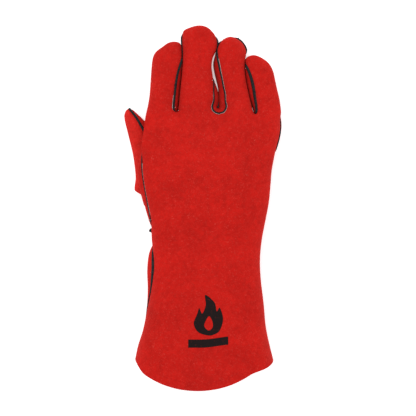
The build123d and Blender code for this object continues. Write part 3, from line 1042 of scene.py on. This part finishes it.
xy, palm_tris = fill(PALM_EDGE, hem(PALM_EDGE[0], PALM_EDGE[-1]), ALL_CUTS + [wrist_ends])
palm_co = palm_at(xy)
palm_tris = palm_tris[:, ::-1]
palm_zones = zones_of_faces(palm_co, palm_tris)
p, q = (PALM_EDGE[i] for i in wrist_ends)
centre = palm_co[palm_tris].mean(1)
palm_zones[(q[0] - p[0]) * (centre[:, 1] - p[1]) - (q[1] - p[1]) * (centre[:, 0] - p[0]) < 0] = CUFF
palm = surface(
    (palm_co, palm_tris, palm_zones), side_strip(BETWEEN, WIDEST, ~walled, palm_zone_of_samples)
)
sidewalls = surface(side_strip(BETWEEN, WIDEST, walled, SAMPLE_ZONE))

back_pieces = in_zones("back_leather", back, RED)
palm_pieces = in_zones("palm_leather", palm, RED)
# The sidewalls take the darker copy of the suede, painted shade for the gaps between the fingers.
wall_pieces = in_zones("sidewall_leather", sidewalls, SHADED_SUEDE)


# ------------------------------------------------------------------ welts and seam thread


def runs(mask):
    """Start and stop of each unbroken run of True."""
    edges = np.flatnonzero(np.diff(np.concatenate([[0], mask.astype(int), [0]])))
    return list(zip(edges[::2], edges[1::2]))


def seam_line(inset, z, outward):
    """A line along a seam, a little proud of the leather."""
    line = OUT[:, :2] + NORMAL * (OUT[:, inset, None] - outward)
    return np.column_stack([line, OUT[:, z]])


def strips_along(line, radius, lean, where):
    """Strips for make_tubes along the stretches of a line where they are wanted."""
    out = np.column_stack([-NORMAL, np.full(len(OUT), lean)])
    return [
        (line[a : b + 1], radius[a : b + 1], out[a : b + 1]) for a, b in runs(where) if b - a > 1
    ]


# Where the thread shows beside the welt, from one outline place to another
THREAD_SHOWS = [((-54, -8), (-62, 44)), ((-23, 110), (-23, 96)), ((15, 114), (12, 146))]


def welts():
    """Welts along the upper seams, and the lower ones where there is a sidewall, with their thread."""
    top = seam_line(TOP_INSET, TOP_Z, 0.35)
    low = seam_line(LOW_INSET, LOW_Z, 0.35)
    thread = seam_line(TOP_INSET, TOP_Z, -0.35)
    thread[:, 2] += OUT[:, WELT_SIZE] * 0.95
    single = (OUT[:, WALL] < 0.5) & (OUT[:, TOP_Z] - OUT[:, LOW_Z] < 2.4)
    top[single, 2] -= 0.8
    thin, fine = np.full(len(OUT), LOW_WELT), np.full(len(OUT), 0.32)
    threaded = np.zeros(len(OUT) - 1, bool)
    for start, stop in THREAD_SHOWS:
        threaded[nearest_sample(start) : nearest_sample(stop)] = True
    made = {}
    for label, zone in ZONES:
        here = SAMPLE_ZONE == zone
        strips = strips_along(top, OUT[:, WELT_SIZE], 0.7, here)
        strips += strips_along(low, thin, -0.3, here & walled)
        made[label] = bend(make_tubes(f"{label}_welt_cords", strips, WELT), zone)
        strips = strips_along(thread, fine, 0.7, here & threaded)
        if strips:
            bend(make_tubes(f"{label}_seam_thread", strips, GREY_THREAD), zone)
    return made


welt_pieces = welts()


def palm_seam_welts():
    """The welts that cross the palm: at the wrist, with its end left standing out, and under the fingers."""
    a, b = (PALM_EDGE[i] for i in wrist_ends)
    ease = np.linspace(0, 1, 70)[1:-1]
    across = palm_at(a + (b - a) * ease[:, None])
    across[:, 2] = np.maximum(across[:, 2] - 0.2, 0.9)
    side, rows = side_rows(BETWEEN, WIDEST)
    left, right = (side[i * rows : (i + 1) * rows] for i in wrist_ends)
    tail = left[0] + np.array([[-3.1, 2.4, 3.4], [-1.8, 1.4, 2.6], [-0.6, 0.4, 1.4]])
    path = np.vstack([tail, left, across, right[::-1]])
    length = np.concatenate([[0], np.cumsum(np.linalg.norm(np.diff(path, axis=0), axis=1))])
    path = evenly(path, 1.2, length)
    radius = 1.0 + 1.0 * np.exp(-np.arange(len(path)) / 4.0)
    wrist = make_tubes("wrist_seam_welt", [(path, radius, UP + 0.01)], WELT)
    line = evenly(PALM_SEAM_LINE, 1.5)
    path = palm_at(line)
    path[:, 2] = np.maximum(path[:, 2] - 0.3, 0.9)
    under = make_tubes("palm_seam_welt", [(path, 0.8, UP + 0.01)], WELT)
    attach(under, "hand")
    return bend(wrist, CUFF)


wrist_piece = palm_seam_welts()


def crotch_knot():
    """The knotted end of the sidewall's thread, between the middle and ring fingers."""
    knot = np.array([(14.2, 98.4, 18.6), (14.9, 99.3, 19.3), (15.8, 98.8, 18.9), (15.0, 98.0, 18.5)])
    tail = np.array([(15.0, 99.0, 18.9), (15.6, 101.2, 18.2), (15.8, 103.6, 17.0)])
    strips = [(knot, 0.6, UP + 0.01), (tail, 0.35, UP + 0.01)]
    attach(make_tubes("crotch_knot", strips, WELT), "hand")


crotch_knot()


# ------------------------------------------------------------------ thumb

# Plan of the thumb in its own frame, from the inside of its root round the outside and the tip
THUMB_OUTLINE = [
    (-8.0, -7.8), (-13.6, -3.6), (-18.0, 0.2), (-18.8, 2.6), (-17.6, 7.0), (-15.6, 13.0),
    (-14.4, 22.0), (-13.5, 38.0), (-14.3, 59.0), (-14.7, 72.0), (-13.2, 78.2), (-9.4, 81.4),
    (-5.4, 80.0), (-1.0, 74.4), (4.4, 66.6), (9.2, 57.6), (12.4, 47.0), (13.2, 34.0), (13.2, 2.0),
    (13.2, -4.0),
]
THUMB_SEAM = [
    (-7.8, 80.8), (-3.2, 71.6), (0.6, 61.4), (3.4, 52.0), (5.8, 40.0), (6.8, 20.0), (7.2, -5.6),
]
THUMB_TOP = 18.8
THUMB_MID = 9.3
THUMB_CUT = 30.0
THUMB_WELT = 1.3
THUMB_END, THUMB_BASE = 2, 1


def thumb_heights(across, along, far, crease):
    """Heights of the thumb's upper and lower faces."""
    x, y = thumb_place(across, along)
    bumps = 0.5 * lumps(x, y, 13.0, 21.0) + 0.25 * lumps(x, y, 6.0, 2.0)
    joint = -0.8 * np.exp(-(((along - 44.0 - 0.2 * across) / 2.6) ** 2))
    groove = 0.5 * np.exp(-(((crease - 4.0) / 2.4) ** 2)) - 1.3 * np.exp(-((crease / 1.7) ** 2))
    rise = rounded(far / 10.5)
    top = THUMB_MID + (THUMB_TOP - THUMB_MID - 0.5 + bumps + joint + groove) * rise
    low = THUMB_MID - (THUMB_MID - 0.5 + 0.3 * np.minimum(bumps, 0) + 0.7 * groove) * rise
    return top, low


def left_of(points, path):
    """Which points lie to the left of a path, by its nearest stretch."""
    _, index = distance_to(points, path)
    k = np.minimum(index.astype(int), len(path) - 2)
    d, rel = path[k + 1] - path[k], points - path[k]
    return d[:, 0] * rel[:, 1] - d[:, 1] * rel[:, 0] > 0


def thumb():
    """Both faces of the thumb, split by the welted seam that runs from its tip to its root."""
    edge = spline(THUMB_OUTLINE, STEP)
    seam = spline(THUMB_SEAM, STEP)
    first, last = edge[0], edge[-1]
    closing = np.array([last + (first - last) * k / 14 for k in range(1, 14)])
    tip_at = int(edge[:, 1].argmax())
    cut = (
        10 + int(np.abs(edge[10:tip_at, 1] - THUMB_CUT).argmin()),
        tip_at + int(np.abs(edge[tip_at:, 1] - THUMB_CUT).argmin()),
    )
    xy, tris = fill(edge, closing, [cut], grid=1.5)
    far, _ = distance_to(xy, np.vstack([edge, closing, edge[:1]]))
    crease, _ = distance_to(xy, seam)
    top, low = thumb_heights(xy[:, 0], xy[:, 1], far, crease)
    x, y = thumb_place(xy[:, 0], xy[:, 1])
    middle = xy[tris].mean(1)
    zones = np.where(middle[:, 1] > THUMB_CUT, THUMB_END, THUMB_BASE)
    zones = np.where(left_of(middle, seam[::-1]), zones, -zones)
    shell = surface(
        (np.column_stack([x, y, top]), tris, zones),
        (np.column_stack([x, y, low]), tris[:, ::-1], zones),
    )
    made = {}
    for part, zone in (("base", THUMB_BASE), ("tip", THUMB_END)):
        # The outer panel takes the lighter copy of the suede as painted light; the inner panel keeps the
        # plain red.
        for side, sign, material in (("outer", 1, LIT_SUEDE), ("inner", -1, RED)):
            mine = shell.tris[shell.zones == sign * zone]
            made[side, part] = make_piece(
                f"thumb_{side}_leather_{part}", shell.co, mine, shell.normals, material
            )
        mine = shell.tris[np.abs(shell.zones) == zone]
        inner = shell.co - shell.normals * (SKIN + 0.2)
        made["fleece", part] = make_piece(
            f"thumb_fleece_{part}", inner, mine, shell.normals, FLEECE, LINING
        )
        split = int(np.abs(seam[:, 1] - THUMB_CUT).argmin())
        stretch = seam[: split + 1] if part == "tip" else seam[split:]
        far, _ = distance_to(stretch, edge)
        top, low = thumb_heights(stretch[:, 0], stretch[:, 1], far, 0 * far)
        x, y = thumb_place(stretch[:, 0], stretch[:, 1])
        over = np.column_stack([x, y, top + 0.5])
        under = np.column_stack([x, y, np.maximum(low, THUMB_WELT + 0.1)])
        strips = [(path, THUMB_WELT, UP + 0.01) for path in (over, under)]
        made["welt", part] = make_tubes(f"thumb_welt_cord_{part}", strips, WELT)
        for side in ("outer", "inner", "fleece", "welt"):
            if part == "tip":
                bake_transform(made[side, part])
            else:
                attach(made[side, part], "thumb_base")
    return made


thumb_pieces = thumb()


# ------------------------------------------------------------------ lining, hem facing and stitches

HEM_CENTRE = np.array([HEM_X, HEM_Y + HEM_RADIUS])


def from_hem(xy):
    """Distance from the curved hem, for plan points."""
    away = HEM_RADIUS - np.hypot(*(xy - HEM_CENTRE).T)
    return np.where(xy[:, 1] < HEM_CENTRE[1], away, HEM_RADIUS)


LINING_FROM_HEM = 7.0
LINING_FROM_FOLD = 7.0
LINING_FROM_GAP = 6.0


def linings():
    """A soft bag just inside the leather: fleece in the hand and fingers, canvas in the cuff.

    It is left out near the hem, at the open fold over the thumb and at the bottoms of the gaps, where
    it would come through the leather.
    """
    everywhere = np.ones(len(OUT) - 1, bool)
    bag = surface(
        back_part,
        side_strip(TURN, None, turned, SAMPLE_ZONE),
        side_strip(BETWEEN, WIDEST, everywhere, SAMPLE_ZONE),
        (palm_co, palm_tris, zones_of_faces(palm_co, palm_tris)),
    )
    middle = bag.co[bag.tris].mean(1)
    zones = np.where((bag.zones == 0) & (middle[:, 1] < WRIST_SEAM_Y), CUFF, bag.zones)
    keep = from_hem(middle[:, :2]) > LINING_FROM_HEM + BACK_SHORTER
    from_side, _ = distance_to(middle[:, :2], OUT[: nearest_sample((-52.0, 110.0)), :2])
    keep &= (from_side > LINING_FROM_FOLD) | (over_thumb(middle[:, 0], middle[:, 1]) < 0.05)
    for pair in CROTCHES:
        bottom = np.mean([knot[:2] for knot in pair], axis=0) - (0.0, 3.0)
        keep &= np.hypot(*(middle[:, :2] - bottom).T) > LINING_FROM_GAP
    inside_co = bag.co - bag.normals * (SKIN + 0.2)
    bag = Surface(inside_co, bag.tris[keep], bag.normals, zones[keep])
    in_cuff = bag.zones == CUFF
    hand = Surface(bag.co, bag.tris[~in_cuff], bag.normals, bag.zones[~in_cuff])
    cuff = Surface(bag.co, bag.tris[in_cuff], bag.normals, bag.zones[in_cuff])
    made = in_zones("fleece", hand, FLEECE, LINING)
    made |= in_zones("canvas", cuff, CANVAS, LINING)
    return made


lining_pieces = linings()


def hem_arc(edge, shorter, back):
    """The hem's arc moved back from the hem, without its corners."""
    arc = hem(edge[0], edge[-1], shorter)[3:-3]
    return HEM_CENTRE + (arc - HEM_CENTRE) * (1 - back / HEM_RADIUS)


HEM_FACES = ((BACK_EDGE, BACK_SHORTER, back_at, 1), (PALM_EDGE, 0.0, palm_at, -1))


def hem_facing():
    """A narrow strip of leather turned in behind the hem, over the edge of the lining."""
    parts = []
    for edge, shorter, surface_at, up in HEM_FACES:
        rows = [surface_at(hem_arc(edge, shorter, back)) for back in range(0, 13, 2)]
        count = len(rows[0])
        co = np.vstack(rows)
        faces = [
            (k * count + i, k * count + i + 1, (k + 1) * count + i + 1, (k + 1) * count + i)
            for k in range(len(rows) - 1)
            for i in range(count - 1)
        ]
        faces = np.array(faces)
        normals = vertex_normals(co, faces)
        if normals[:, 2].sum() * up < 0:
            faces, normals = faces[:, ::-1], -normals
        depth = SKIN + 0.1 + (LINING + 0.4) * smooth(np.repeat(np.arange(len(rows)), count) / 3.0)
        parts.append((co - normals * depth[:, None], faces, np.full(len(faces), CUFF)))
    facing = surface(*parts)
    piece = make_piece("hem_facing_strip", facing.co, facing.tris, facing.normals, RED, 1.0)
    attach(piece, "cuff")
    return piece


facing_piece = hem_facing()


def hem_stitching():
    """One row of small red stitches through each face, along the hem."""
    strips = []
    for edge, shorter, surface_at, up in HEM_FACES:
        path = surface_at(evenly(hem_arc(edge, shorter, 8.0), 0.8))
        inner = slice(14, len(path) - 14)
        path = path[inner] - UP * up * 0.1
        strips += [(path[i : i + 4], 0.3, UP + 0.01) for i in range(0, len(path) - 4, 5)]
    piece = make_tubes("hem_stitching", strips, RED_THREAD)
    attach(piece, "cuff")
    return piece


stitch_piece = hem_stitching()


# ------------------------------------------------------------------ printed mark on the cuff

# A generic flame with a smaller flame left open in it, and a curved bar below
FLAME = [
    (5.0, -120.5), (-4.0, -117.5), (-8.2, -109.5), (-5.0, -100.5), (-3.0, -95.0), (-0.2, -100.0),
    (3.2, -92.0), (2.8, -82.5), (11.4, -89.5), (13.6, -98.0), (16.4, -94.5), (19.6, -105.0),
    (16.4, -116.0), (10.2, -120.0),
]
INNER_FLAME = [(6.0, -116.0), (1.8, -112.0), (3.2, -106.6), (6.4, -102.4), (9.4, -107.2), (9.8, -112.8)]


def closed_curve(points):
    """A smooth closed loop through points."""
    loop = spline([points[-1]] + points + points[:2], 0.8)
    start = int(np.hypot(loop[:, 0] - points[0][0], loop[:, 1] - points[0][1]).argmin())
    again = start + 8 + int(
        np.hypot(loop[start + 8 :, 0] - points[0][0], loop[start + 8 :, 1] - points[0][1]).argmin()
    )
    return loop[start:again]


def bar_loop():
    """A bar that bends up towards its right end."""
    xs = np.linspace(-13.5, 24.5, 48)
    lift = 3.2 * smooth((xs + 2.0) / 32.0)
    return np.vstack(
        [np.column_stack([xs, -132.2 + lift]), np.column_stack([xs, -124.6 + lift])[::-1]]
    )


def printed(name, loop, hole=None):
    """A thin print that follows the leather inside a plan loop, and outside a hole."""
    low, high = loop.min(0), loop.max(0)
    spots = [np.arange(low[k], high[k], 1.3) for k in (0, 1)]
    grid = np.array([(x, y) for x in spots[0] for y in spots[1]])
    rims = [loop] if hole is None else [loop, hole]
    for rim in rims:
        near, _ = distance_to(grid, np.vstack([rim, rim[:1]]))
        grid = grid[near > 0.5]
    points = np.vstack(rims + [grid[inside(grid, loop)]])
    edges, start = [], 0
    for rim in rims:
        count = len(rim)
        edges += [(start + i, start + (i + 1) % count) for i in range(count)]
        start += count
    flat, _, faces, _, _, _ = delaunay_2d_cdt([Vector(p) for p in points.tolist()], edges, [], 0, 1e-5)
    xy, tris = np.array([tuple(c) for c in flat]), np.array(faces)
    middle = xy[tris].mean(1)
    wanted = inside(middle, loop)
    if hole is not None:
        wanted &= ~inside(middle, hole)
    co = back_at(xy)
    sheet = surface((co, tris[wanted], np.zeros(wanted.sum())))
    up = sheet.normals * np.sign(sheet.normals[:, 2:3].sum())
    tris = sheet.tris if sheet.normals[:, 2].sum() > 0 else sheet.tris[:, ::-1]
    piece = make_piece(name, sheet.co + up * 0.22, tris, up, INK, 0.3)
    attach(piece, "cuff")


printed("printed_flame", closed_curve(FLAME), closed_curve(INNER_FLAME))
printed("printed_bar", bar_loop())


# ------------------------------------------------------------------ camera, floor and light


def camera_and_light():
    scene = bpy.context.scene
    scene.view_settings.view_transform = "Standard"
    camera = bpy.data.cameras.new("camera")
    camera.lens = 85.0
    camera.sensor_width = 36.0
    eye = bpy.data.objects.new("camera", camera)
    scene.collection.objects.link(eye)
    eye.location = (0.0053, 0.0004, 0.976)
    eye.rotation_euler = (0.0, 0.0, 0.0)
    scene.camera = eye
    bpy.ops.mesh.primitive_plane_add(size=6.0, location=(0, 0, -0.0006))
    floor = bpy.context.object
    floor.name = "floor"
    material, nodes, links, shader = new_material("pale_floor")
    shader.inputs["Base Color"].default_value = (0.93, 0.93, 0.93, 1.0)
    shader.inputs["Roughness"].default_value = 0.9
    shader.inputs["Emission Color"].default_value = (1.0, 1.0, 1.0, 1.0)
    shader.inputs["Emission Strength"].default_value = 0.45
    floor.data.materials.append(material)
    world = bpy.data.worlds.new("studio")
    world.use_nodes = True
    world.node_tree.nodes["Background"].inputs["Color"].default_value = (1.0, 1.0, 1.0, 1.0)
    world.node_tree.nodes["Background"].inputs["Strength"].default_value = 0.75
    scene.world = world
    for name, position, size, power in (
        ("key", (-0.5, 0.7, 1.2), 0.9, 9.0),
        ("fill", (0.9, -0.3, 1.0), 1.2, 4.0),
    ):
        light = bpy.data.lights.new(name, "AREA")
        light.size = size
        light.energy = power
        lamp = bpy.data.objects.new(name, light)
        lamp.location = position
        lamp.rotation_euler = (-Vector(position)).to_track_quat("-Z", "Y").to_euler()
        scene.collection.objects.link(lamp)


camera_and_light()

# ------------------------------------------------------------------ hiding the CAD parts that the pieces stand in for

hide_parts("hand_back", "cuff_back")
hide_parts("hand_palm")
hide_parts("cuff_palm")
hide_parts("crotch_sidewalls")
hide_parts("cuff_welts")
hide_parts("hand_welts")
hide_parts("hand_lining")
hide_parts("cuff_lining")
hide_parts("hem_facing")
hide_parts("hem_stitches")
for finger in FINGERS:
    for level, segment in (("lower", "proximal"), ("upper", "distal")):
        for pieces, panel in (
            (back_pieces, "back"),
            (palm_pieces, "palm"),
            (wall_pieces, "sidewalls"),
            (welt_pieces, "welts"),
            (lining_pieces, "lining"),
        ):
            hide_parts(f"{finger}_{panel}_{segment}")
for part in ("base", "tip"):
    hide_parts(f"thumb_back_{part}")
    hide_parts(f"thumb_front_{part}")
    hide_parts(f"thumb_welt_{part}")
    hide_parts(f"thumb_lining_{part}")
